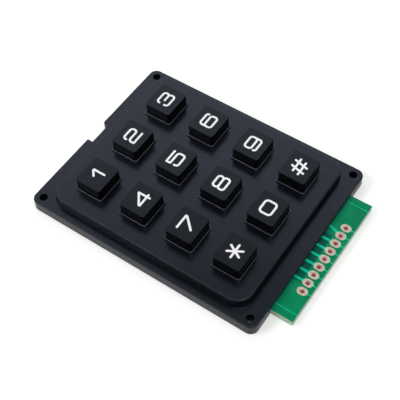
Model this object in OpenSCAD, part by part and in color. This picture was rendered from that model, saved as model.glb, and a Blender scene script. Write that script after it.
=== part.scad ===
// Matrix keypad, three columns by four rows, with a black bezel, hard keycaps and a board tab.
// The origin is the centre of the four corner holes, on the flange's bottom face.
// +X runs from key 1 to key 3, +Y from the board tab towards key 1, and +Z out of the key tops.

/* [Bezel] */
// Width of the flange
body_w = 51.5; // [48:0.5:60]
// Length of the flange
body_l = 64; // [61:0.5:76]
// Thickness of the flange
flange_t = 3.1; // [2.8:0.1:3.8]
// Radius of the flange's corners
flange_r = 2; // [1:0.25:4]
// Setback of the raised middle's top from the long edges
plateau_inset_x = 2.55; // [2:0.05:3]
// Setback of the raised middle's top from the short edges
plateau_inset_y = 4.4; // [4.2:0.1:5]
// Lean of the raised middle's sides, from top to foot
plateau_draft = 0.35; // [0.1:0.05:0.5]
// Radius of the raised middle's corners, at its top
plateau_r = 4; // [1:0.25:4.5]
// Wall around the board's cavity
wall_t = 1.6; // [1.2:0.1:2]
// Thickness of the roof that the keys come through
roof_t = 1.4; // [1:0.1:2]
// Radius of the cavity's corners
cavity_r = 1; // [0.5:0.1:2]
// Width of the notch in the far short edge
notch_w = 6.5; // [4:0.5:10]
// Depth of the notch
notch_l = 1.5; // [0.5:0.1:2]

/* [Corner holes] */
// Diameter of the corner holes
hole_d = 2; // [1.8:0.1:2.6]
// Hole centres in from the long edges
hole_inset_x = 2.25; // [2:0.05:3]
// Hole centres in from the short edges
hole_inset_y = 2.35; // [2:0.05:2.6]

/* [Keys] */
// Column spacing
pitch_x = 14.1; // [13:0.1:14.6]
// Row spacing
pitch_y = 13; // [12.6:0.1:13.4]
// Width of a keycap
key_w = 8; // [7:0.1:8.4]
// Length of a keycap
key_l = 7.1; // [6.6:0.1:7.6]
// Radius of a keycap's upright edges
key_r = 0.5; // [0.3:0.1:0.8]
// Height of the key tops above the raised middle
key_rise = 3.6; // [2:0.1:5]
// Travel of a key
key_travel = 1; // [0.6:0.1:1.4]
// Wall and top of a keycap
key_wall = 1; // [0.8:0.1:1.4]
// Clearance around a keycap in its window
key_clear = 0.1; // [0.08:0.02:0.2]
// Width of the rim around a window
rim_w = 0.3; // [0.2:0.05:0.5]
// Height of the rim above the raised middle
rim_h = 0.5; // [0.2:0.05:0.8]
// Overhang of the skirt that keeps a keycap below the roof
skirt_over = 0.9; // [0.6:0.1:1.2]
// Thickness of that skirt
skirt_t = 0.55; // [0.4:0.05:0.8]
// Gap between the skirt and the roof
skirt_gap = 0.1; // [0.05:0.05:0.2]
// Diameter of the plunger inside a keycap
plunger_d = 4; // [3:0.1:4.4]
// Thickness of the ribs that brace the plunger
rib_t = 0.8; // [0.6:0.1:1]

/* [Legends] */
// Height of a legend
glyph_h = 3.7; // [3:0.1:4.5]
// Width of a legend
glyph_w = 4.1; // [3.6:0.1:5]
// Width of a legend's stroke
stroke_w = 0.55; // [0.4:0.05:0.9]
// Thickness of the ink
ink_t = 0.05; // [0.03:0.01:0.1]

/* [Rubber mat] */
// Thickness of the sheet
mat_t = 0.7; // [0.5:0.1:1]
// Gap between the sheet and the cavity's walls
mat_gap = 0.3; // [0.2:0.1:0.6]
// Radius of a dome at its foot
dome_r = 3.3; // [3.1:0.1:3.6]
// Thickness of a dome's sloping web
dome_web = 0.4; // [0.3:0.05:0.5]
// Thickness of a dome's crown
crown_t = 0.35; // [0.25:0.05:0.4]
// Lip of a dome's crown around the plunger
crown_lip = 0.1; // [0.05:0.05:0.2]
// Room left below a pressed skirt
travel_spare = 0.1; // [0.05:0.05:0.2]
// Diameter of a contact pill
pill_d = 3; // [2.6:0.1:3.2]

/* [Board] */
// Thickness of the board
board_t = 1.6; // [1.2:0.1:1.8]
// Height of the board's back above the flange's bottom face
board_lift = 0.2; // [0.15:0.05:0.3]
// Gap between the board and the cavity's walls
board_gap = 0.2; // [0.1:0.05:0.4]
// Width of the tab
tab_w = 37.2; // [34:0.1:38]
// Reach of the tab past the flange
tab_reach = 5.7; // [5:0.1:12]
// Gap around the tab in its slot
tab_gap = 0.15; // [0.1:0.05:0.3]
// Thickness of the copper
copper_t = 0.05; // [0.03:0.01:0.08]
// Width of the leads seen on the tab
track_w = 0.65; // [0.5:0.05:0.9]
// Width of the stubs from the pads to the tab's outer edge
stub_w = 0.3; // [0.2:0.05:0.4]
// Sideways run of the lead that leans
lead_lean = 1.2; // [0.6:0.1:1.2]
// Width of the hidden tracks
fine_w = 0.4; // [0.3:0.05:0.5]
// Score lines in from the tab's short ends
score_inset = 2; // [1:0.1:3]
// Diameter of a plated hole that joins both sides
via_d = 0.6; // [0.4:0.05:0.8]

/* [Header pads] */
// Number of pads
pad_count = 9; // [8:1:9]
// Spacing of the pads
pad_pitch = 2.54; // [2.4:0.02:2.6]
// Width of a pad, along the row
pad_w = 2.05; // [1.8:0.05:2.3]
// Length of a pad, across the row
pad_l = 2.65; // [2.4:0.05:3.2]
// Bore of a pad
pad_bore = 1; // [0.8:0.05:1.1]
// Pad centres in from the tab's outer edge
pad_inset = 2.2; // [1.8:0.05:3]
// Shift of the pad row from the tab's middle
pad_shift = -0.55; // [-1:0.05:1]

/* [Stakes] */
// Diameter of the bosses that press on the board
boss_d = 3.2; // [2.8:0.1:3.6]
// Diameter of the pins through the board
pin_d = 1.6; // [1.2:0.1:2]
// Clearance around a pin in the board, on the radius
pin_gap = 0.1; // [0.05:0.05:0.2]
// Clearance around a boss in the mat, on the radius
boss_gap = 0.3; // [0.2:0.1:0.5]
// Diameter of a melted pin head
head_d = 2.8; // [2.4:0.1:3.2]

/* [Hidden] */
KEYS = ["1", "2", "3", "4", "5", "6", "7", "8", "9", "star", "0", "hash"];
$fn = 64;
eps = 0.5;

// Columns and rows of keys
columns = 3;
rows = 4;

// Heights, from the flange's bottom face up
board_top = board_lift + board_t;
copper_top = board_top + copper_t;
mat_top = copper_top + mat_t;
skirt_z = mat_top + travel_spare + key_travel;
roof_z = skirt_z + skirt_t + skirt_gap;
plateau_z = roof_z + roof_t;
rim_z = plateau_z + rim_h;
key_z = plateau_z + key_rise;
crown_z = skirt_z - crown_t;
pill_z = copper_top + key_travel + travel_spare / 2;

// Widths and lengths that follow the flange
hole_x = body_w / 2 - hole_inset_x;
hole_y = body_l / 2 - hole_inset_y;
plateau_w = body_w - 2 * plateau_inset_x;
plateau_l = body_l - 2 * plateau_inset_y;
cavity_w = plateau_w - 2 * wall_t;
cavity_l = plateau_l - 2 * wall_t;
board_w = cavity_w - 2 * board_gap;
board_l = cavity_l - 2 * board_gap;
mat_w = cavity_w - 2 * mat_gap;
mat_l = cavity_l - 2 * mat_gap;
mat_r = cavity_r;

// Window, rim and skirt, from the keycap
window_w = key_w + 2 * key_clear;
window_l = key_l + 2 * key_clear;
window_r = key_r + key_clear;

// Tab and pad row
tab_end = body_l / 2 + tab_reach;
pad_y = -tab_end + pad_inset;

// Contact pair below each dome
finger_w = 0.35;
finger_step = 0.7;
finger_l = 3.2;
spine_x = 1.9;
spine_l = 3.5;

// Crown and hollow of a dome
crown_r = plunger_d / 2 + crown_lip;
hollow_r = dome_r - dome_web;
hollow_top_r = crown_r - dome_web / 2;

// Column lines run up the left of the contacts and row lines end at vias on their right
column_x = 3.4;
via_x = 3;
column_pads = [2, 4, 6];
row_pads = [7, 5, 3, 1];
link_pad_d = 0.9;
fan_step = 0.85;
fan_margin = 0.7;
fan_y = -board_l / 2 + fan_margin;

// The row lines share the room between the last vias and the board's long edge
last_via_edge = pitch_x + via_x + link_pad_d / 2;
feeder_step = (board_w / 2 - last_via_edge) / (rows + 1);
feeder_x = last_via_edge + feeder_step;

function col(k) = k % columns;
function row(k) = floor(k / columns);
function key_x(c) = (c - (columns - 1) / 2) * pitch_x;
function key_y(r) = ((rows - 1) / 2 - r) * pitch_y;
function pad_x(n) = pad_shift + (n - (pad_count - 1) / 2) * pad_pitch;

// Box on its bottom face, with round upright edges
module rounded_box(w, l, h, r) {
    translate([-w / 2 + r, -l / 2, 0]) cube([w - 2 * r, l, h]);
    translate([-w / 2, -l / 2 + r, 0]) cube([w, l - 2 * r, h]);
    for (sx = [-1, 1], sy = [-1, 1])
        translate([sx * (w / 2 - r), sy * (l / 2 - r), 0]) cylinder(h = h, r = r);
}

// The same with sides that lean out by draft from top to foot; w, l and r are those of the top
module drafted_box(w, l, h, r, draft) {
    for (sx = [-1, 1], sy = [-1, 1])
        translate([sx * (w / 2 - r), sy * (l / 2 - r), 0])
            cylinder(h = h, r1 = r + draft, r2 = r);
    translate([-w / 2 + r, 0, 0]) rotate([90, 0, 90])
        linear_extrude(w - 2 * r) leaning_section(l, h, draft);
    translate([0, l / 2 - r, 0]) rotate([90, 0, 0])
        linear_extrude(l - 2 * r) leaning_section(w, h, draft);
}

module leaning_section(width, h, draft) {
    foot = width / 2 + draft;
    polygon([[-foot, 0], [foot, 0], [width / 2, h], [-width / 2, h]]);
}

module at_each_key() {
    for (c = [0 : columns - 1], r = [0 : rows - 1])
        translate([key_x(c), key_y(r), 0]) children();
}

module at_key(k) {
    translate([key_x(col(k)), key_y(row(k)), 0]) children();
}

// Stakes stand where four keys meet
module at_each_stake() {
    for (c = [0 : columns - 2], r = [0 : rows - 2])
        translate([key_x(c) + pitch_x / 2, key_y(r) - pitch_y / 2, 0]) children();
}

module at_each_pad() {
    for (n = [0 : pad_count - 1]) translate([pad_x(n), pad_y, 0]) children();
}

module bezel() {
    color([0.16, 0.16, 0.19]) {
        difference() {
            bezel_outside();
            bezel_inside();
        }
        at_each_stake() stake();
    }
}

module bezel_outside() {
    rounded_box(body_w, body_l, flange_t, flange_r);
    translate([0, 0, flange_t])
        drafted_box(plateau_w, plateau_l, plateau_z - flange_t, plateau_r, plateau_draft);
    at_each_key() translate([0, 0, roof_z])
        rounded_box(window_w + 2 * rim_w, window_l + 2 * rim_w, rim_z - roof_z, window_r);
}

module bezel_inside() {
    translate([0, 0, -eps]) rounded_box(cavity_w, cavity_l, roof_z + eps, cavity_r);
    at_each_key() translate([0, 0, roof_z - eps])
        rounded_box(window_w, window_l, rim_z - roof_z + 2 * eps, window_r);
    translate([-tab_w / 2 - tab_gap, -body_l / 2 - eps, -eps])
        cube([tab_w + 2 * tab_gap, (body_l - cavity_l) / 2 + 2 * eps, board_top + tab_gap + eps]);
    translate([-notch_w / 2, body_l / 2 - notch_l, -eps])
        cube([notch_w, notch_l + eps, flange_t + 2 * eps]);
    for (sx = [-1, 1], sy = [-1, 1])
        translate([sx * hole_x, sy * hole_y, -eps]) cylinder(h = flange_t + 2 * eps, d = hole_d);
}

// Boss that presses on the board, with a pin through it and a melted head in the recess below
module stake() {
    translate([0, 0, board_top]) cylinder(h = roof_z - board_top + roof_t / 2, d = boss_d);
    cylinder(h = board_top + eps, d = pin_d);
    cylinder(h = board_lift, d = head_d);
}

module keycap() {
    color([0.18, 0.18, 0.2]) {
        difference() {
            keycap_outside();
            translate([0, 0, skirt_z - eps])
                rounded_box(key_w - 2 * key_wall, key_l - 2 * key_wall,
                            key_z - key_wall - skirt_z + eps, key_r / 2);
        }
        translate([0, 0, skirt_z]) cylinder(h = key_z - key_wall / 2 - skirt_z, d = plunger_d);
        rib_z = skirt_z + skirt_t;
        translate([-(key_w - key_wall) / 2, -rib_t / 2, rib_z])
            cube([key_w - key_wall, rib_t, key_z - key_wall / 2 - rib_z]);
    }
}

module keycap_outside() {
    translate([0, 0, skirt_z]) rounded_box(key_w, key_l, key_z - skirt_z, key_r);
    translate([0, 0, skirt_z])
        rounded_box(key_w + 2 * skirt_over, key_l + 2 * skirt_over, skirt_t, key_r + skirt_over);
}

module rubber_mat() {
    color([0.55, 0.56, 0.58]) difference() {
        union() {
            translate([0, 0, copper_top]) rounded_box(mat_w, mat_l, mat_t, mat_r);
            at_each_key() translate([0, 0, mat_top])
                cylinder(h = skirt_z - mat_top, r1 = dome_r, r2 = crown_r);
        }
        at_each_key() dome_hollow();
        at_each_stake() translate([0, 0, copper_top - eps])
            cylinder(h = mat_t + 2 * eps, r = boss_d / 2 + boss_gap);
    }
}

module dome_hollow() {
    translate([0, 0, copper_top - eps]) cylinder(h = mat_t + eps, r = hollow_r);
    translate([0, 0, mat_top]) cylinder(h = crown_z - mat_top, r1 = hollow_r, r2 = hollow_top_r);
}

module pill() {
    color([0.12, 0.12, 0.12])
        translate([0, 0, pill_z]) cylinder(h = crown_z - pill_z, d = pill_d);
}

module circuit_board() {
    color([0.05, 0.5, 0.33]) difference() {
        translate([0, 0, board_lift]) {
            rounded_box(board_w, board_l, board_t, cavity_r);
            translate([-tab_w / 2, -tab_end, 0]) cube([tab_w, tab_end - board_l / 4, board_t]);
        }
        translate([0, 0, board_lift - eps]) {
            at_each_pad() cylinder(h = board_t + 2 * eps, d = pad_bore);
            at_each_stake() cylinder(h = board_t + 2 * eps, r = pin_d / 2 + pin_gap);
            at_each_via() cylinder(h = board_t + 2 * eps, d = via_d);
        }
    }
}

module header_pads() {
    color([0.88, 0.84, 0.76]) at_each_pad() difference() {
        union() {
            translate([0, 0, board_lift - copper_t]) pad_land(copper_t);
            translate([0, 0, board_top]) pad_land(copper_t);
        }
        translate([0, 0, -eps]) cylinder(h = copper_top + 2 * eps, d = pad_bore);
    }
}

// Oblong pad without its hole
module pad_land(h) {
    straight = pad_l - pad_w;
    translate([-pad_w / 2, -straight / 2, 0]) cube([pad_w, straight, h]);
    for (side = [-1, 1]) translate([0, side * straight / 2, 0]) cylinder(h = h, d = pad_w);
}

module switch_contacts() {
    color([0.2, 0.2, 0.2]) at_each_key() translate([0, 0, board_top]) {
        comb(1);
        comb(-1);
    }
}

// Half of a contact pair: side is 1 for the left comb with three fingers, -1 for the right one
module comb(side) {
    steps = side > 0 ? [-2, 0, 2] : [-1, 1];
    mirror([side > 0 ? 0 : 1, 0, 0]) {
        translate([-spine_x - finger_w, -spine_l / 2, 0]) cube([finger_w, spine_l, copper_t]);
        for (s = steps) translate([-spine_x - finger_w / 2, s * finger_step - finger_w / 2, 0])
            cube([finger_l, finger_w, copper_t]);
    }
}

// A track of width w along a list of points, with round ends
module track(points, w) {
    for (n = [0 : len(points) - 2]) {
        a = points[n];
        run = points[n + 1] - a;
        translate([a.x, a.y, 0]) rotate([0, 0, atan2(run.y, run.x)])
            translate([0, -w / 2, 0]) cube([norm(run), w, copper_t]);
    }
    for (p = points) translate([p.x, p.y, 0]) cylinder(h = copper_t, d = w);
}

// Where a row line goes through the board below the bezel
function row_via(r) = [pad_x(row_pads[r]) + lean(row_pads[r]), fan_y - link_pad_d];

// Only the first row's lead leans
function lean(n) = n == row_pads[0] ? lead_lean : 0;

module at_each_via() {
    at_each_key() translate([via_x, 0, 0]) children();
    for (r = [0 : rows - 1]) translate([row_via(r).x, row_via(r).y, 0]) children();
}

module top_tracks() {
    color([0.1, 0.68, 0.48]) translate([0, 0, board_top]) difference() {
        union() {
            for (c = [0 : columns - 1]) column_line(c);
            for (r = [0 : rows - 1]) track([lead_end(row_pads[r]), row_via(r)], fine_w);
            for (r = [0 : rows - 1]) wide_lead(row_pads[r]);
            for (c = [0 : columns - 1]) wide_lead(column_pads[c]);
            at_each_via() cylinder(h = copper_t, d = link_pad_d);
            at_each_key() translate([spine_x + finger_w, -fine_w / 2, 0])
                cube([via_x - spine_x - finger_w, fine_w, copper_t]);
            for (side = [-1, 1]) score_line(side);
            at_each_pad() edge_stub();
        }
        at_each_pad() translate([0, 0, -eps]) pad_land(copper_t + 2 * eps);
    }
}

// Where a broad lead ends, below the bezel
function lead_end(n) = [pad_x(n) + lean(n), -body_l / 2 + wall_t];

// Broad lead from a pad to below the bezel's edge
module wide_lead(n) {
    track([[pad_x(n), pad_y], [pad_x(n) + lean(n), -body_l / 2], lead_end(n)], track_w);
}

// Plating stub from a pad to the tab's outer edge
module edge_stub() {
    translate([-stub_w / 2, -pad_inset, 0]) cube([stub_w, pad_inset, copper_t]);
}

module score_line(side) {
    translate([side * (tab_w / 2 - score_inset) - fine_w / 4, -tab_end, 0])
        cube([fine_w / 2, tab_end - board_l / 2, copper_t]);
}

// Pad, fan-out below the bezel, run beside the contacts and a stub to each left comb
module column_line(c) {
    x = key_x(c) - column_x;
    y = fan_y + c * fan_step;
    track([[pad_x(column_pads[c]), pad_y], [pad_x(column_pads[c]), y], [x, y], [x, key_y(0)]], fine_w);
    for (r = [0 : rows - 1]) translate([x, key_y(r) - fine_w / 2, 0])
        cube([column_x - spine_x - finger_w, fine_w, copper_t]);
}

module back_tracks() {
    color([0.1, 0.68, 0.48]) translate([0, 0, board_lift - copper_t]) {
        for (r = [0 : rows - 1]) row_line(r);
        at_each_via() cylinder(h = copper_t, d = link_pad_d);
    }
}

// From its via below the bezel, round the board's right side and across the three key vias
module row_line(r) {
    start = row_via(r);
    x = feeder_x + (rows - 1 - r) * feeder_step;
    y = fan_y + r * fan_step;
    track([start, [start.x, y], [x, y], [x, key_y(r)], [key_x(0) + via_x, key_y(r)]], fine_w);
}

module board_vias() {
    color([0.72, 0.45, 0.2]) translate([0, 0, board_lift]) at_each_via() cylinder(h = board_t, d = via_d);
}

// Straight stroke of a legend, with round ends
module stroke(a, b) {
    run = b - a;
    translate([a.x, a.y, 0]) rotate([0, 0, atan2(run.y, run.x)])
        translate([0, -stroke_w / 2, 0]) cube([norm(run), stroke_w, ink_t]);
    for (p = [a, b]) translate([p.x, p.y, 0]) cylinder(h = ink_t, d = stroke_w);
}

// Curved stroke about a centre, from one angle to another
module arc(centre, r, from, to) {
    translate([centre.x, centre.y, 0]) rotate([0, 0, from])
        rotate_extrude(angle = to - from) translate([r - stroke_w / 2, 0]) square([stroke_w, ink_t]);
    for (a = [from, to]) translate([centre.x + r * cos(a), centre.y + r * sin(a), 0])
        cylinder(h = ink_t, d = stroke_w);
}

// Closed stroke round a box with round corners
module ring(centre, hw, hh, r) {
    for (side = [-1, 1]) {
        stroke([centre.x + side * hw, centre.y - hh + r], [centre.x + side * hw, centre.y + hh - r]);
        stroke([centre.x - hw + r, centre.y + side * hh], [centre.x + hw - r, centre.y + side * hh]);
    }
    for (q = [0 : 3]) {
        sx = q == 0 || q == 3 ? 1 : -1;
        sy = q < 2 ? 1 : -1;
        arc([centre.x + sx * (hw - r), centre.y + sy * (hh - r)], r, 90 * q, 90 * q + 90);
    }
}

// Open stroke along upright and level runs, with round corners
module pen(points, r) {
    last = len(points) - 1;
    for (n = [0 : last - 1]) {
        run = (points[n + 1] - points[n]) / norm(points[n + 1] - points[n]);
        stroke(points[n] + (n > 0 ? r : 0) * run, points[n + 1] - (n < last - 1 ? r : 0) * run);
    }
    for (n = [1 : last - 1]) corner(points[n - 1], points[n], points[n + 1], r);
}

// Round corner at b on the way from a to c
module corner(a, b, c, r) {
    into = (b - a) / norm(b - a);
    away = (c - b) / norm(c - b);
    start = atan2(-away.y, -away.x);
    left = into.x * away.y - into.y * away.x > 0;
    arc(b + (away - into) * r, r, left ? start : start - 90, left ? start + 90 : start);
}

// Half width and half height of a legend, on its strokes' centre lines, and its corners' radius
gx = (glyph_w - stroke_w) / 2;
gy = (glyph_h - stroke_w) / 2;
gr = gy * 0.45;

module glyph_1() {
    stem_x = gx * 0.4;
    stroke([stem_x, -gy], [stem_x, gy]);
    stroke([stem_x * 0.6, gy], [-gx / 2, gy * 0.3]);
}

module glyph_2() {
    middle = -gy * 0.06;
    pen([[-gx, gy * 0.45], [-gx, gy], [gx, gy], [gx, middle], [-gx, middle], [-gx, -gy]], gr);
    stroke([-gx, -gy], [gx, -gy]);
}

module glyph_3() {
    middle = gy * 0.06;
    inner = -gx * 0.25;
    pen([[-gx, gy / 2], [-gx, gy], [gx, gy], [gx, middle], [inner, middle]], gr);
    pen([[inner, middle], [gx, middle], [gx, -gy], [-gx, -gy], [-gx, -gy * 0.4]], gr);
}

module glyph_4() {
    bar_y = -gy / 2;
    stem_x = gx * 0.65;
    shoulder = [-gx, -gy * 0.35];
    stroke([stem_x, gy], [stem_x, -gy]);
    stroke([stem_x, gy], shoulder);
    stroke(shoulder, [-gx, bar_y]);
    stroke([-gx, bar_y], [gx, bar_y]);
}

module glyph_5() {
    middle = gy * 0.3;
    stroke([gx, gy], [-gx, gy]);
    stroke([-gx, gy], [-gx, middle]);
    pen([[-gx, middle], [gx, middle], [gx, -gy], [-gx, -gy], [-gx, -gy * 0.4]], gr);
}

module glyph_6() {
    bowl = gy * 0.6;
    hook_r = gr * 0.7;
    ring([0, bowl - gy], gx, bowl, gr);
    pen([[-gx, bowl - gy], [-gx, gy], [0, gy]], gr);
    pen([[0, gy], [gx, gy], [gx, gy * 0.66]], hook_r);
}

module glyph_7() {
    bar = gx * 1.05;
    bend_y = gy * 0.8;
    stroke([-bar, gy], [bar, gy]);
    stroke([bar, gy], [bar, bend_y]);
    stroke([bar, bend_y], [-gx / 2, -gy]);
}

module glyph_8() {
    waist = gy * 0.04;
    ring([0, (gy + waist) / 2], gx * 0.93, (gy - waist) / 2, gr);
    ring([0, (waist - gy) / 2], gx, (gy + waist) / 2, gr);
}

module glyph_star() {
    for (a = [0, 60, 120]) {
        tip = [cos(a), sin(a)] * gx * 1.04;
        stroke(-tip, tip);
    }
}

// Leans to the right: the uprights reach past the bars, and the bars past the uprights
module glyph_hash() {
    slope = 0.25;
    tall = gy * 1.1;
    wide = gx * 1.07;
    for (side = [-1, 1]) {
        x = side * gx / 2;
        y = side * gy / 2;
        stroke([x - slope * tall, -tall], [x + slope * tall, tall]);
        stroke([slope * y - wide, y], [slope * y + wide, y]);
    }
}

module glyph(name) {
    if (name == "1") glyph_1();
    if (name == "2") glyph_2();
    if (name == "3") glyph_3();
    if (name == "4") glyph_4();
    if (name == "5") glyph_5();
    if (name == "6") glyph_6();
    if (name == "7") glyph_7();
    if (name == "8") glyph_8();
    if (name == "9") rotate([0, 0, 180]) glyph_6();
    if (name == "0") ring([0, 0], gx * 1.03, gy * 0.96, gr * 1.2);
    if (name == "star") glyph_star();
    if (name == "hash") glyph_hash();
}

module legend(name) {
    color([0.95, 0.95, 1]) translate([0, 0, key_z]) glyph(name);
}

bezel();
circuit_board();
rubber_mat();
header_pads();
switch_contacts();
top_tracks();
back_tracks();
board_vias();
for (k = [0 : len(KEYS) - 1]) {
    at_key(k) keycap();
    at_key(k) legend(KEYS[k]);
    at_key(k) pill();
}
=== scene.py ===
# Matrix keypad: looks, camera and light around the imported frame. Metres, in the frame's own axes.
# Lengths whose comment or name says so are in mm, and are multiplied by MM where they are used.
import math

import bmesh
import bpy
from mathutils import Matrix, Vector


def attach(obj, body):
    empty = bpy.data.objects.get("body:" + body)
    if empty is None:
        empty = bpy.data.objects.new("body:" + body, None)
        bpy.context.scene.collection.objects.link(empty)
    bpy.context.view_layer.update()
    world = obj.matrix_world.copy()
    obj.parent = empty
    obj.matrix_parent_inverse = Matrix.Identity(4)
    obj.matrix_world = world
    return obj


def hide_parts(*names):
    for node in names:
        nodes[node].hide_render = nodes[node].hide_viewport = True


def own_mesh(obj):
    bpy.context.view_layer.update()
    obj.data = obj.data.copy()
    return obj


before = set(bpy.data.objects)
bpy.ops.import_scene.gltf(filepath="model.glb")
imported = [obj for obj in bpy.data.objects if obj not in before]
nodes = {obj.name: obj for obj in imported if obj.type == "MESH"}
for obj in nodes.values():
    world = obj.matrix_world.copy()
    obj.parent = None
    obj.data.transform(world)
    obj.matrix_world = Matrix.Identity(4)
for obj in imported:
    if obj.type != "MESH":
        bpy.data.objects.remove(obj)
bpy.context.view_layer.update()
scene = bpy.context.scene

MM = 0.001
# Along the rows, from the far end of the keypad to the tab
KEYS = ["1", "2", "3", "4", "5", "6", "7", "8", "9", "star", "0", "hash"]
COLUMNS, ROWS = 3, 4

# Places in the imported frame, in mm
PITCH = (14.1, 13.0)
FLANGE_Z, PLATEAU_Z, RIM_Z = 3.1, 5.7, 6.2
PLATEAU_CORNER, TOP_R, FOOT_R = (19.2, 23.6), 4.0, 4.35
CORNER_HOLE, CORNER_HOLE_R = (23.5, 29.65), 1.0
MAT_Z, MAT_TOP, DOME_TOP = 1.85, 2.55, 3.65
BOARD_MIDDLE_Z = 1.0
PAD_PITCH, PAD_Y = 2.54, -35.5
PAD_X = [-0.55 + (n - 4) * PAD_PITCH for n in range(9)]


# Node helpers

def new_material(name):
    mat = bpy.data.materials.new(name)
    mat.use_nodes = True
    return mat, mat.node_tree, mat.node_tree.nodes["Principled BSDF"]


def put(tree, socket, value):
    """Links the socket to another node's output, or sets its own value. A colour gets an alpha of 1."""
    if isinstance(value, bpy.types.NodeSocket):
        tree.links.new(value, socket)
    elif socket.type == "RGBA":
        socket.default_value = (*value, 1)
    else:
        socket.default_value = value


def add(tree, kind, settings=None, **inputs):
    """A node of that kind with its settings, and values or links for its inputs."""
    node = tree.nodes.new(kind)
    for key, value in (settings or {}).items():
        setattr(node, key, value)
    for key, value in inputs.items():
        put(tree, node.inputs[key.replace("_", " ")], value)
    return node


def math_node(tree, operation, a, b=0.0):
    node = add(tree, "ShaderNodeMath", {"operation": operation})
    put(tree, node.inputs[0], a)
    put(tree, node.inputs[1], b)
    return node.outputs[0]


def vector_node(tree, operation, a, b=(0, 0, 0)):
    node = add(tree, "ShaderNodeVectorMath", {"operation": operation})
    put(tree, node.inputs[0], a)
    put(tree, node.inputs[1], b)
    return node.outputs["Value"]


def position(tree):
    return add(tree, "ShaderNodeTexCoord").outputs["Object"]


def split(tree, vector):
    return add(tree, "ShaderNodeSeparateXYZ", Vector=vector).outputs


def levelness(tree, kind):
    """How level the face is: 1 for a level face and 0 for an upright wall."""
    normal = add(tree, "ShaderNodeNewGeometry").outputs[kind]
    return math_node(tree, "ABSOLUTE", split(tree, normal)["Z"])


def noise(tree, where, size_mm, detail=3.0, rough=0.55):
    node = add(tree, "ShaderNodeTexNoise", Vector=where, Scale=1 / (size_mm * MM), Detail=detail,
               Roughness=rough)
    return node.outputs["Fac"]


def spread(tree, fac, lo, hi, to_lo, to_hi):
    """The range lo to hi mapped to the range to_lo to to_hi, and held at its ends."""
    node = add(tree, "ShaderNodeMapRange", Value=fac, From_Min=lo, From_Max=hi, To_Min=to_lo,
               To_Max=to_hi)
    return node.outputs["Result"]


def mix(tree, fac, a, b):
    node = add(tree, "ShaderNodeMix", {"data_type": "RGBA"})
    # Its colours have the same names as its numbers, so they are taken by their places
    colour_a, colour_b, result = node.inputs[6], node.inputs[7], node.outputs[2]
    put(tree, node.inputs[0], fac)
    put(tree, colour_a, a)
    put(tree, colour_b, b)
    return result


def clouded(tree, fac, a, b, hi=0.7):
    """Colours a and b, clouding into each other by a noise."""
    return mix(tree, spread(tree, fac, 0.35, hi, 0.0, 1.0), a, b)


def bump(tree, height, strength, distance_mm):
    return add(tree, "ShaderNodeBump", Height=height, Strength=strength, Distance=distance_mm * MM)


def finish_shader(tree, shader, colour, rough, relief, metallic=0.0, specular=0.5, tint=(1, 1, 1)):
    put(tree, shader.inputs["Base Color"], colour)
    put(tree, shader.inputs["Roughness"], rough)
    put(tree, shader.inputs["Normal"], relief.outputs["Normal"])
    put(tree, shader.inputs["Metallic"], metallic)
    put(tree, shader.inputs["Specular IOR Level"], specular)
    put(tree, shader.inputs["Specular Tint"], tint)


# Materials

PLASTIC_TINT = (0.74, 0.81, 1.0)
MASK_TINT = (0.35, 1.0, 0.85)
WEAVE_MM = 0.6
# A wave texture's bands repeat at this share of one over its scale
WAVE_REPEAT = 0.314


def moulded_plastic(name, deep, pale, rough, grain_mm, grain, rub=0.0, specular=0.5, wall_gloss=0.0):
    """Moulded plastic with an eroded grain, slow clouding, faint handling marks and rubbed high spots.
    wall_gloss is what the upright walls lose in roughness, as the mould is smoother there."""
    mat, tree, shader = new_material(name)
    where = position(tree)
    fine = noise(tree, where, grain_mm, 2.0, 0.6)
    colour = clouded(tree, noise(tree, where, 9.0, 4.0), deep, pale, 0.68)
    worn = tuple(c * 1.9 for c in pale)
    colour = mix(tree, spread(tree, fine, 0.55, 0.75, 0.0, 0.5 + rub), colour, worn)
    smear = add(tree, "ShaderNodeTexNoise", Vector=where, Scale=260.0, Detail=5.0, Distortion=1.6)
    dull = spread(tree, smear.outputs["Fac"], 0.35, 0.7, rough - 0.02, rough + 0.03)
    dull = math_node(tree, "ADD", dull, spread(tree, fine, 0.3, 0.7, -0.04, 0.04))
    if wall_gloss:
        less = spread(tree, levelness(tree, "True Normal"), 0.2, 0.6, wall_gloss, 0.0)
        dull = math_node(tree, "SUBTRACT", dull, less)
    relief = bump(tree, noise(tree, where, 3.5, 2.0), 0.05, 0.05)
    put(tree, relief.inputs["Normal"], bump(tree, fine, grain, 0.02).outputs["Normal"])
    finish_shader(tree, shader, colour, dull, relief, specular=specular, tint=PLASTIC_TINT)
    return mat


def legend_ink():
    mat, tree, shader = new_material("legend_white")
    where = position(tree)
    fine = noise(tree, where, 0.12, 3.0)
    patchy = noise(tree, where, 0.7, 3.0)
    colour = clouded(tree, patchy, (0.88, 0.88, 0.93), (0.95, 0.95, 0.98))
    colour = mix(tree, spread(tree, fine, 0.66, 0.78, 0.0, 0.25), colour, (0.5, 0.5, 0.54))
    finish_shader(tree, shader, colour, spread(tree, patchy, 0.3, 0.7, 0.42, 0.6),
                  bump(tree, fine, 0.25, 0.01))
    return mat


def glass_weave(tree, where):
    """Crossed threads of the board's glass cloth, 0 to 1."""
    threads = []
    for axis in ("X", "Y"):
        wave = add(tree, "ShaderNodeTexWave", {"wave_type": "BANDS", "bands_direction": axis},
                   Vector=where, Scale=WAVE_REPEAT / (WEAVE_MM * MM), Distortion=1.2, Detail=2.0)
        threads.append(wave.outputs["Fac"])
    return math_node(tree, "MULTIPLY", *threads)


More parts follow.
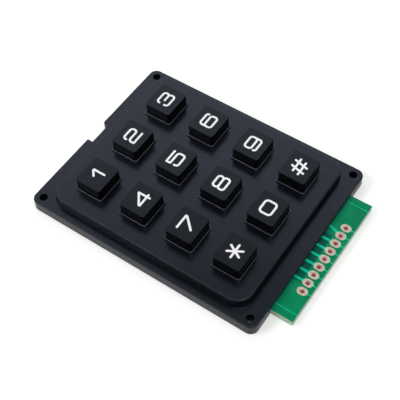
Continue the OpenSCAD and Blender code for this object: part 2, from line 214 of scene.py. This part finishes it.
def bare_and_shaded_between_leads(tree, where):
    """1 in the zone of the tab's top without copper under the mask, 0 outside it, with soft edges. Its
    darker green is partly bare glass and partly painted shade from the bezel.
    """
    left, right, near, soft = (v * MM for v in (-8.9, 6.1, -33.9, 0.12))
    xyz = split(tree, where)
    wander = spread(tree, noise(tree, where, 0.5), 0.3, 0.7, -0.06 * MM, 0.06 * MM)
    x = math_node(tree, "ADD", xyz["X"], wander)
    y = math_node(tree, "ADD", xyz["Y"], wander)
    inside = math_node(tree, "MULTIPLY", spread(tree, x, left - soft, left + soft, 0.0, 1.0),
                       spread(tree, x, right - soft, right + soft, 1.0, 0.0))
    inside = math_node(tree, "MULTIPLY", inside, spread(tree, y, near - soft, near + soft, 0.0, 1.0))
    top = math_node(tree, "GREATER_THAN", xyz["Z"], BOARD_MIDDLE_Z * MM)
    return math_node(tree, "MULTIPLY", inside, top)


def board_mask():
    """Green mask over copper, darker between the leads where there is none and also as painted shade
    from the bezel, with bare glass edges.
    """
    mat, tree, shader = new_material("board_green")
    where = position(tree)
    weave = glass_weave(tree, where)
    over_copper = clouded(tree, noise(tree, where, 5.0), (0.0, 0.198, 0.077), (0.001, 0.254, 0.107))
    # Darker green: mask over bare glass, together with painted shade from the bezel
    over_glass_and_shade = mix(tree, weave, (0.0, 0.078, 0.050), (0.0, 0.108, 0.072))
    face = mix(tree, bare_and_shaded_between_leads(tree, where), over_copper, over_glass_and_shade)
    side = spread(tree, levelness(tree, "Normal"), 0.45, 0.55, 1.0, 0.0)
    pressed = add(tree, "ShaderNodeMapping", Vector=where, Scale=(1.0, 1.0, 9.0)).outputs[0]
    layers = add(tree, "ShaderNodeTexNoise", Vector=pressed, Scale=900.0, Detail=3.0).outputs["Fac"]
    glass = clouded(tree, layers, (0.33, 0.56, 0.40), (0.62, 0.74, 0.58), 0.65)
    rough = math_node(tree, "ADD", spread(tree, noise(tree, where, 1.2), 0.3, 0.7, 0.2, 0.32),
                      math_node(tree, "MULTIPLY", side, 0.4))
    height = math_node(tree, "ADD", math_node(tree, "MULTIPLY", weave, 0.4), noise(tree, where, 0.4))
    finish_shader(tree, shader, mix(tree, side, face, glass), rough, bump(tree, height, 0.18, 0.02),
                  specular=0.22, tint=MASK_TINT)
    return mat


def masked_copper():
    mat, tree, shader = new_material("masked_copper")
    where = position(tree)
    patchy = noise(tree, where, 0.9, 3.0)
    colour = clouded(tree, patchy, (0.0, 0.52, 0.29), (0.006, 0.62, 0.36))
    finish_shader(tree, shader, colour, spread(tree, patchy, 0.3, 0.7, 0.18, 0.3),
                  bump(tree, noise(tree, where, 0.25), 0.2, 0.02), specular=0.25, tint=MASK_TINT)
    return mat


def from_pad_centre(tree, where):
    """Distance from the nearest pad's centre."""
    xyz = split(tree, where)
    half = PAD_PITCH / 2 * MM
    along = math_node(tree, "SUBTRACT", xyz["X"], PAD_X[0] * MM - half)
    along = math_node(tree, "SUBTRACT", math_node(tree, "FLOORED_MODULO", along, 2 * half), half)
    across = math_node(tree, "SUBTRACT", xyz["Y"], PAD_Y * MM)
    return vector_node(tree, "LENGTH", add(tree, "ShaderNodeCombineXYZ", X=along, Y=across).outputs[0])


def tinned():
    """Dull cream solder with flux stains, browner towards each hole."""
    mat, tree, shader = new_material("tinned_pads")
    where = position(tree)
    patchy = noise(tree, where, 0.5, 4.0)
    stain = spread(tree, noise(tree, where, 1.1, 2.0), 0.5, 0.72, 0.0, 0.5)
    colour = clouded(tree, patchy, (0.53, 0.47, 0.38), (0.71, 0.67, 0.59))
    colour = mix(tree, stain, colour, (0.52, 0.30, 0.20))
    ragged = spread(tree, patchy, 0.3, 0.7, -0.2 * MM, 0.2 * MM)
    reach = math_node(tree, "ADD", from_pad_centre(tree, where), ragged)
    brown = spread(tree, reach, 0.52 * MM, 0.9 * MM, 0.75, 0.0)
    colour = mix(tree, brown, colour, (0.50, 0.24, 0.17))
    finish_shader(tree, shader, colour, spread(tree, patchy, 0.3, 0.7, 0.34, 0.55),
                  bump(tree, patchy, 0.35, 0.03), metallic=0.25)
    return mat


def simple(name, a, b, size_mm, rough, relief, metallic=0.0, specular=0.5):
    """Two tones that cloud into each other, with a gloss that follows them and a finer relief."""
    mat, tree, shader = new_material(name)
    where = position(tree)
    fac = noise(tree, where, size_mm, 4.0)
    finish_shader(tree, shader, clouded(tree, fac, a, b, 0.68),
                  spread(tree, fac, 0.3, 0.7, rough - 0.07, rough + 0.07),
                  bump(tree, noise(tree, where, size_mm / 4), relief, 0.03), metallic, specular)
    return mat


bezel_black = moulded_plastic("bezel_black", (0.0013, 0.0017, 0.0036), (0.0027, 0.0033, 0.0062),
                              rough=0.25, grain_mm=0.16, grain=0.16, specular=0.42)
# Painted highlight: the edge materials are lighter copies of the face materials, laid on the rounded
# edges as lit lines, with a little more rubbed wear
bezel_edge_highlight_and_wear = moulded_plastic("bezel_edge_highlight_and_wear", (0.006, 0.007, 0.011), (0.013, 0.014, 0.019),
                             rough=0.38, grain_mm=0.16, grain=0.14, rub=0.2, specular=0.36)
# Painted highlight: a much lighter copy of the bezel's plastic for the rims' outer rounded edges, the
# lit line along each window, with a little rubbed wear
rim_edge_highlight_and_wear = moulded_plastic("rim_edge_highlight_and_wear", (0.040, 0.044, 0.056), (0.070, 0.075, 0.090),
                           rough=0.32, grain_mm=0.16, grain=0.12, rub=0.2)
key_black = moulded_plastic("key_black", (0.0009, 0.0011, 0.0018), (0.0020, 0.0023, 0.0034),
                            rough=0.30, grain_mm=0.11, grain=0.16, specular=0.30, wall_gloss=0.14)
# Painted highlight: a lighter copy of the key's plastic for its rounded edges, with a little more
# rubbed wear
key_edge_highlight_and_wear = moulded_plastic("key_edge_highlight_and_wear", (0.009, 0.010, 0.014), (0.018, 0.020, 0.025),
                           rough=0.30, grain_mm=0.11, grain=0.10, rub=0.2)
legend_white = legend_ink()
board_green = board_mask()
masked = masked_copper()
tin = tinned()
bare_copper = simple("bare_copper", (0.50, 0.27, 0.15), (0.66, 0.38, 0.22),
                     size_mm=0.6, rough=0.4, relief=0.25, metallic=0.9)
barrel = simple("barrel_copper", (0.62, 0.27, 0.19), (0.80, 0.44, 0.33),
                size_mm=0.4, rough=0.45, relief=0.3, metallic=0.1)
silicone = simple("mat_silicone", (0.22, 0.23, 0.25), (0.30, 0.31, 0.33),
                  size_mm=2.5, rough=0.62, relief=0.25, specular=0.35)
carbon = simple("carbon_ink", (0.012, 0.012, 0.012), (0.03, 0.03, 0.03),
                size_mm=0.3, rough=0.7, relief=0.35, specular=0.3)


# Rounded edges

# Faces that turn by less than this, in radians, count as one flat face
FLAT = math.radians(0.5)
# Edges that turn by more than this, in radians, are sharp
SHARP = 0.6


def link(mesh, name, mats):
    obj = bpy.data.objects.new(name, mesh)
    scene.collection.objects.link(obj)
    for m in mats:
        mesh.materials.append(m)
    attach(obj, "housing")
    return obj


def smooth_faces(mesh):
    mesh.polygons.foreach_set("use_smooth", [True] * len(mesh.polygons))


def weighted_normals(obj):
    modifier = obj.modifiers.new("normals", "WEIGHTED_NORMAL")
    modifier.keep_sharp = True
    return modifier


def round_key(key):
    """Welds and cleans a keycap's flat faces, then rounds its sharp edges, all in modifiers."""
    weld = key.modifiers.new("weld", "WELD")
    weld.merge_threshold = 1e-6
    flat = key.modifiers.new("flat", "DECIMATE")
    flat.decimate_type = "DISSOLVE"
    flat.angle_limit = FLAT
    bevel = key.modifiers.new("round", "BEVEL")
    bevel.width = 0.25 * MM
    bevel.segments = 3
    bevel.limit_method = "ANGLE"
    bevel.angle_limit = math.radians(40)
    bevel.miter_outer = "MITER_ARC"
    # Slot 1 is the lighter edge material: a painted highlight along the key's rounded edges
    bevel.material = 1
    smooth_faces(key.data)
    weighted_normals(key)


def copied(name):
    """A node's faces to work on, welded, without the normals that came with them."""
    source = nodes[name].data
    plain = bpy.data.meshes.new(name + "_plain")
    plain.from_pydata([v.co for v in source.vertices], [], [list(f.vertices) for f in source.polygons])
    bm = bmesh.new()
    bm.from_mesh(plain)
    bpy.data.meshes.remove(plain)
    bmesh.ops.remove_doubles(bm, verts=bm.verts, dist=2e-6)
    return bm


def relay_corner(bm, sx, sy):
    """One corner cone of the raised middle, laid again as even strips from top to foot."""
    near, on_ring = 0.03, 0.005
    cx, cy = sx * PLATEAU_CORNER[0], sy * PLATEAU_CORNER[1]

    def reach(v):
        """Distance from the corner's axis in mm, or 0 for a vertex outside the corner's quarter."""
        x, y, z = v.co / MM
        quarter = (x - cx) * sx > -0.01 and (y - cy) * sy > -0.01
        return math.hypot(x - cx, y - cy) if quarter and FLANGE_Z - 0.01 < z < PLATEAU_Z + 0.01 else 0.0

    def on_cone(v):
        share = (PLATEAU_Z - v.co.z / MM) / (PLATEAU_Z - FLANGE_Z)
        return abs(reach(v) - TOP_R - (FOOT_R - TOP_R) * share) < near

    def ring(z, r):
        here = [v for v in bm.verts if abs(v.co.z / MM - z) < on_ring and abs(reach(v) - r) < on_ring]
        return sorted(here, key=lambda v: math.atan2((v.co.y / MM - cy) * sy, (v.co.x / MM - cx) * sx))

    old = [f for f in bm.faces if abs(f.normal.z) < 0.5 and all(on_cone(v) for v in f.verts)]
    bmesh.ops.delete(bm, geom=old, context="FACES")
    top, foot = ring(PLATEAU_Z, TOP_R), ring(FLANGE_Z, FOOT_R)
    for i in range(min(len(top), len(foot)) - 1):
        bm.faces.new((foot[i], foot[i + 1], top[i + 1], top[i]))


def level(a, b, z):
    """Whether both ends lie at that height."""
    return abs(a.z - z) < 0.02 and abs(b.z - z) < 0.02


def outside_rim(a, b):
    """True for an edge on the outside of a window's rim, false for one around the opening itself."""
    half_w, half_l, corner_x, corner_y, corner_r = 4.2, 3.75, 3.5, 3.05, 0.65

    def past(v):
        x = abs(v.x - PITCH[0] * round(v.x / PITCH[0]))
        y = abs(v.y - PITCH[1] * (math.floor(v.y / PITCH[1]) + 0.5))
        from_corner = math.hypot(max(x - corner_x, 0), max(y - corner_y, 0))
        return x > half_w or y > half_l or from_corner > corner_r
    return past(a) and past(b)


# Lines in mm that tell the edges apart, each a little way off the edges that it is there to find
OUTLINE_X, OUTLINE_Y = 24.7, 30.85
NOTCH_HALF_W, NOTCH_BACK_Y, NOTCH_MOUTH_Y = 3.3, 30.4, 31.9
PLATEAU_X, PLATEAU_Y = 19.0, 23.4


# Each test below gets an edge's two ends and its middle, in mm, and whether it points outwards

def flange_outline(a, b, m, out):
    in_notch = abs(m.x) < NOTCH_HALF_W
    around = abs(m.x) > OUTLINE_X or abs(m.y) > OUTLINE_Y or (in_notch and m.y > NOTCH_BACK_Y)
    notch_corner = in_notch and m.y > NOTCH_MOUTH_Y and abs(a.z - b.z) > 2
    return out and (level(a, b, FLANGE_Z) and around or notch_corner)


def plateau_outline(a, b, m, out):
    return out and level(a, b, PLATEAU_Z) and (abs(m.x) > PLATEAU_X or abs(m.y) > PLATEAU_Y)


def rim_outline(a, b, m, out):
    return out and level(a, b, RIM_Z) and outside_rim(a, b)


def rim_opening(a, b, m, out):
    return out and level(a, b, RIM_Z) and not outside_rim(a, b)


def rim_foot(a, b, m, out):
    return not out and level(a, b, PLATEAU_Z)


def hole_rim(a, b, m, out):
    from_hole = math.hypot(abs(m.x) - CORNER_HOLE[0], abs(m.y) - CORNER_HOLE[1])
    return out and level(a, b, FLANGE_Z) and from_hole < 1.1 * CORNER_HOLE_R


def round_off(bm, test, width_mm, segments, slot):
    """Rounds the sharp edges that pass the test, with new faces in that material slot."""
    found = []
    for e in bm.edges:
        if len(e.link_faces) == 2 and abs(e.calc_face_angle_signed()) > SHARP:
            a, b = (v.co / MM for v in e.verts)
            if test(a, b, (a + b) / 2, e.calc_face_angle_signed() > 0):
                found.append(e)
    bmesh.ops.bevel(bm, geom=found, offset=width_mm * MM, offset_type="OFFSET", segments=segments,
                    profile=0.5, affect="EDGES", clamp_overlap=True, material=slot, loop_slide=True)


def rounded_bezel():
    """The CAD bezel's faces with rounded edges, in three materials: faces, edges painted lighter as a
    highlight with a little wear, and window rims painted much lighter still as a highlight.
    """
    face_slot, edge_highlight_slot, rim_highlight_slot = 0, 1, 2
    bm = copied("bezel")
    for sx, sy in ((1, 1), (-1, 1), (-1, -1), (1, -1)):
        relay_corner(bm, sx, sy)
    bm.normal_update()
    bmesh.ops.recalc_face_normals(bm, faces=bm.faces)
    bmesh.ops.dissolve_limit(bm, angle_limit=FLAT, verts=bm.verts, edges=bm.edges)
    # Painted highlight on the flange, plateau and corner hole edges, from the lighter edge material
    round_off(bm, flange_outline, 0.3, 3, edge_highlight_slot)
    round_off(bm, plateau_outline, 0.3, 4, edge_highlight_slot)
    # Painted highlight on the rims' outer edges, from the much lighter rim material
    round_off(bm, rim_outline, 0.15, 3, rim_highlight_slot)
    round_off(bm, rim_opening, 0.06, 2, face_slot)
    round_off(bm, rim_foot, 0.1, 2, face_slot)
    round_off(bm, hole_rim, 0.12, 2, edge_highlight_slot)
    bmesh.ops.dissolve_limit(bm, angle_limit=FLAT, verts=bm.verts, edges=bm.edges, delimit={"MATERIAL"})
    for e in bm.edges:
        e.smooth = len(e.link_faces) == 2 and abs(e.calc_face_angle_signed()) < SHARP
    mesh = bpy.data.meshes.new("bezel_shell")
    bm.to_mesh(mesh)
    bm.free()
    smooth_faces(mesh)
    shell = link(mesh, "bezel_shell", (bezel_black, bezel_edge_highlight_and_wear, rim_edge_highlight_and_wear))
    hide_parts("bezel")
    weighted_normals(shell).weight = 100


def dress(name, *mats):
    data = nodes[name].data
    data.materials.clear()
    for m in mats:
        data.materials.append(m)


rounded_bezel()
for k in KEYS:
    dress(f"key_{k}", key_black, key_edge_highlight_and_wear)
    round_key(nodes[f"key_{k}"])
    dress(f"legend_{k}", legend_white)
    dress(f"pill_{k}", carbon)
dress("circuit_board", board_green)
dress("top_tracks", masked)
dress("back_tracks", masked)
dress("header_pads", tin)
dress("switch_contacts", carbon)
dress("board_vias", bare_copper)


# Rubber mat: a sheet and twelve domes, all in mm until their meshes are made

MAT_SIZE, MAT_R = (42.6, 51.4), 1.0
DOME_FOOT, DOME_CROWN, CROWN_LIP = 3.3, 2.1, 0.1
HOLLOW_FOOT, HOLLOW_CROWN, HOLLOW_Z = 2.9, 1.9, 3.3
BOSS_HOLE_R = 1.9


def key_place(i):
    """Centre of key i, counted along the rows from key 1."""
    return (i % COLUMNS - (COLUMNS - 1) / 2) * PITCH[0], ((ROWS - 1) / 2 - i // COLUMNS) * PITCH[1]


def turned(name, profile, centre, steps, mat):
    """Mesh of a closed profile of (radius, height) in mm, turned about a vertical axis at centre."""
    bm = bmesh.new()
    rings = []
    for s in range(steps):
        a = 2 * math.pi * s / steps
        c, n = math.cos(a), math.sin(a)
        rings.append([bm.verts.new(((centre[0] + r * c) * MM, (centre[1] + r * n) * MM, z * MM))
                      for r, z in profile])
    for s in range(steps):
        a, b = rings[s], rings[(s + 1) % steps]
        for i in range(len(profile)):
            j = (i + 1) % len(profile)
            bm.faces.new((a[i], b[i], b[j], a[j]))
    bmesh.ops.remove_doubles(bm, verts=bm.verts, dist=1e-7)
    bmesh.ops.recalc_face_normals(bm, faces=bm.faces)
    mesh = bpy.data.meshes.new(name)
    bm.to_mesh(mesh)
    bm.free()
    smooth_faces(mesh)
    return link(mesh, name, (mat,))


def web(steps, r0, z0, r1, z1):
    """Points of a dome's sloping web from (r0, z0) to (r1, z1), swelling a little between them."""
    points = []
    for i in range(steps):
        t = i / (steps - 1)
        ease = t * t * (3 - 2 * t)
        points.append((r0 + (r1 - r0) * (0.6 * t + 0.4 * ease), z0 + (z1 - z0) * t))
    return points


def dome_profile():
    """Outside from foot to crown, then the hollow back down."""
    outside = web(9, DOME_FOOT, MAT_TOP, DOME_CROWN, DOME_TOP)
    crown = [(DOME_CROWN - CROWN_LIP, DOME_TOP), (0.0, DOME_TOP), (0.0, HOLLOW_Z)]
    return outside + crown + web(7, HOLLOW_CROWN, HOLLOW_Z, HOLLOW_FOOT, MAT_TOP)


def rounded_outline(w, l, r, steps=8):
    """Points of a rectangle with round corners, each corner in that many steps."""
    pts = []
    for turn, (sx, sy) in enumerate(((1, 1), (-1, 1), (-1, -1), (1, -1))):
        for s in range(steps + 1):
            a = math.radians(90 * turn + 90 * s / steps)
            pts.append((sx * (w / 2 - r) + r * math.cos(a), sy * (l / 2 - r) + r * math.sin(a)))
    return pts


def hole_outline(x, y, r, steps=40):
    """Points of a circle, the other way round from the outline."""
    turns = [-2 * math.pi * s / steps for s in range(steps)]
    return [(x + r * math.cos(a), y + r * math.sin(a)) for a in turns]


def sheet_with_holes(name, rings, z0, z1, mat):
    """Flat sheet from z0 to z1, inside the first ring and outside the others, with softened edges."""
    edge = 0.06
    curve = bpy.data.curves.new(name, "CURVE")
    curve.dimensions = "2D"
    curve.fill_mode = "BOTH"
    curve.extrude = ((z1 - z0) / 2 - edge) * MM
    curve.bevel_depth = edge * MM
    curve.bevel_resolution = 1
    curve.offset = -edge * MM
    for ring in rings:
        spline = curve.splines.new("POLY")
        spline.points.add(len(ring) - 1)
        for p, (x, y) in zip(spline.points, ring):
            p.co = (x * MM, y * MM, 0, 1)
        spline.use_cyclic_u = True
    holder = bpy.data.objects.new(name + "_line", curve)
    scene.collection.objects.link(holder)
    bpy.context.view_layer.update()
    mesh = bpy.data.meshes.new_from_object(holder.evaluated_get(bpy.context.evaluated_depsgraph_get()))
    bpy.data.objects.remove(holder)
    mesh.transform(Matrix.Translation((0, 0, (z0 + z1) / 2 * MM)))
    mesh.materials.clear()
    smooth_faces(mesh)
    return link(mesh, name, (mat,))


rings = [rounded_outline(*MAT_SIZE, MAT_R)]
rings += [hole_outline(*key_place(i), HOLLOW_FOOT) for i in range(len(KEYS))]
# A hole for the bezel's boss between each four keys
rings += [hole_outline((c - 0.5) * PITCH[0], (1 - r) * PITCH[1], BOSS_HOLE_R)
          for c in range(COLUMNS - 1) for r in range(ROWS - 1)]
mat_sheet = sheet_with_holes("mat_sheet", rings, MAT_Z, MAT_TOP, silicone)
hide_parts("rubber_mat")
for i, k in enumerate(KEYS):
    x, y = key_place(i)
    dome = turned(f"mat_dome_{k}", dome_profile(), (x, y), 48, silicone)
    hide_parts("rubber_mat")
    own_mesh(dome)


# Plating inside the header holes, as (radius, height) in mm. Its bore narrows a little halfway down

LINING = [(0.497, 0.16), (0.497, 1.84), (0.485, 1.848), (0.46, 1.80), (0.455, 1.0), (0.46, 0.20),
          (0.485, 0.152)]
for n, x in enumerate(PAD_X):
    turned(f"hole_plating_{n + 1}", LINING, (x, PAD_Y), 32, barrel)


# Floor, camera and light

# The flange covers the floor up to COVER_X on both sides, and from one end to the other, in mm
COVER_X, COVER_ENDS = 25.1, (-31.4, 30.4)
# The floor's glow grows between these distances from the object, in metres
NEAR_GLOW, FAR_GLOW = 0.12, 1.0


def floor_material():
    """White floor that glows for the camera and, from further off, for reflections. Under the object
    and round the corner holes, where only those holes show it, it is painted dark as shade and doesn't
    glow."""
    mat, tree, shader = new_material("studio_floor")
    where = position(tree)
    xyz = split(tree, where)
    wide, long = math_node(tree, "ABSOLUTE", xyz["X"]), math_node(tree, "ABSOLUTE", xyz["Y"])
    past_x = math_node(tree, "GREATER_THAN", wide, COVER_X * MM)
    past_near = math_node(tree, "LESS_THAN", xyz["Y"], COVER_ENDS[0] * MM)
    past_far = math_node(tree, "GREATER_THAN", xyz["Y"], COVER_ENDS[1] * MM)
    past_y = math_node(tree, "MAXIMUM", past_near, past_far)
    spot = add(tree, "ShaderNodeCombineXYZ", X=wide, Y=long).outputs[0]
    from_hole = vector_node(tree, "DISTANCE", spot, (CORNER_HOLE[0] * MM, CORNER_HOLE[1] * MM, 0))
    # clear is 0 under the object and round the corner holes, where the floor gets painted shade and no
    # glow
    clear = math_node(tree, "MULTIPLY", math_node(tree, "MAXIMUM", past_x, past_y),
                      math_node(tree, "GREATER_THAN", from_hole, 1.5 * CORNER_HOLE_R * MM))
    tone = mix(tree, noise(tree, where, 60.0), (0.93, 0.93, 0.93), (0.95, 0.95, 0.95))
    # Painted shade: dark grey where clear is 0
    put(tree, shader.inputs["Base Color"], mix(tree, clear, (0.12, 0.12, 0.12), tone))
    away = vector_node(tree, "LENGTH", where)
    rays = add(tree, "ShaderNodeLightPath").outputs
    to_camera = math_node(tree, "MULTIPLY", rays["Is Camera Ray"],
                          spread(tree, away, NEAR_GLOW, FAR_GLOW, 0.22, 0.9))
    mirrored = math_node(tree, "MAXIMUM", rays["Is Glossy Ray"], rays["Is Transmission Ray"])
    mirrored = math_node(tree, "MULTIPLY", mirrored, spread(tree, away, NEAR_GLOW, FAR_GLOW, 0.0, 0.9))
    glow = math_node(tree, "MULTIPLY", clear, math_node(tree, "MAXIMUM", to_camera, mirrored))
    put(tree, shader.inputs["Emission Strength"], glow)
    put(tree, shader.inputs["Emission Color"], (1, 1, 1))
    put(tree, shader.inputs["Roughness"], 0.85)
    put(tree, shader.inputs["Specular IOR Level"], 0.2)
    return mat


def lay_floor():
    bm = bmesh.new()
    bmesh.ops.create_grid(bm, x_segments=8, y_segments=8, size=3.0)
    mesh = bpy.data.meshes.new("floor")
    bm.to_mesh(mesh)
    bm.free()
    mesh.materials.append(floor_material())
    floor = bpy.data.objects.new("floor", mesh)
    floor.location = (0, 0, -0.02 * MM)
    scene.collection.objects.link(floor)


def place_camera():
    """The photo's own camera, as solved from its points."""
    right = Vector((0.56209, -0.82678, -0.02216))
    up = Vector((0.68524, 0.45052, 0.57226))
    forward = Vector((0.46315, 0.33685, -0.81977))
    data = bpy.data.cameras.new("camera")
    data.lens = 80.376
    data.sensor_width = 36.0
    data.clip_start = 0.01
    data.clip_end = 20.0
    camera = bpy.data.objects.new("camera", data)
    place = Matrix((right, up, -forward)).transposed().to_4x4()
    place.translation = Vector((-0.103038, -0.075072, 0.179572))
    camera.matrix_world = place
    scene.collection.objects.link(camera)
    scene.camera = camera


def softbox(name, towards, distance, size, power, colour=(1, 1, 1)):
    """Area light in that direction from the object, facing it."""
    data = bpy.data.lights.new(name, "AREA")
    data.shape = "RECTANGLE"
    data.size, data.size_y = size
    data.energy = power
    data.color = colour
    obj = bpy.data.objects.new(name, data)
    d = Vector(towards).normalized()
    obj.location = d * distance
    obj.rotation_mode = "QUATERNION"
    obj.rotation_quaternion = d.to_track_quat("Z", "Y")
    scene.collection.objects.link(obj)


def light_room():
    """A room that is white to the camera, and to the object brighter on the side the camera faces."""
    world = bpy.data.worlds.new("studio")
    scene.world = world
    world.use_nodes = True
    tree = world.node_tree
    back = tree.nodes["Background"]
    put(tree, back.inputs["Color"], (0.96, 0.98, 1.0))
    camera_way = (0.81, 0.59, 0.0)
    ahead = vector_node(tree, "DOT_PRODUCT", add(tree, "ShaderNodeTexCoord").outputs["Generated"],
                        camera_way)
    room = spread(tree, ahead, -0.3, 0.9, 0.09, 0.6)
    seen = add(tree, "ShaderNodeLightPath").outputs["Is Camera Ray"]
    put(tree, back.inputs["Strength"], math_node(tree, "MAXIMUM", seen, room))


lay_floor()
place_camera()
softbox("top_light", (-0.15, -0.30, 0.94), 1.2, (0.8, 0.8), 7.0, (1.0, 0.99, 0.97))
softbox("left_light", (-0.60, 0.65, 0.70), 0.9, (0.6, 0.4), 3.2)
softbox("back_light", (0.56, 0.42, 0.72), 0.9, (0.8, 0.40), 0.95, (0.90, 0.94, 1.0))
light_room()

scene.view_settings.view_transform = "Standard"

bpy.context.view_layer.update()
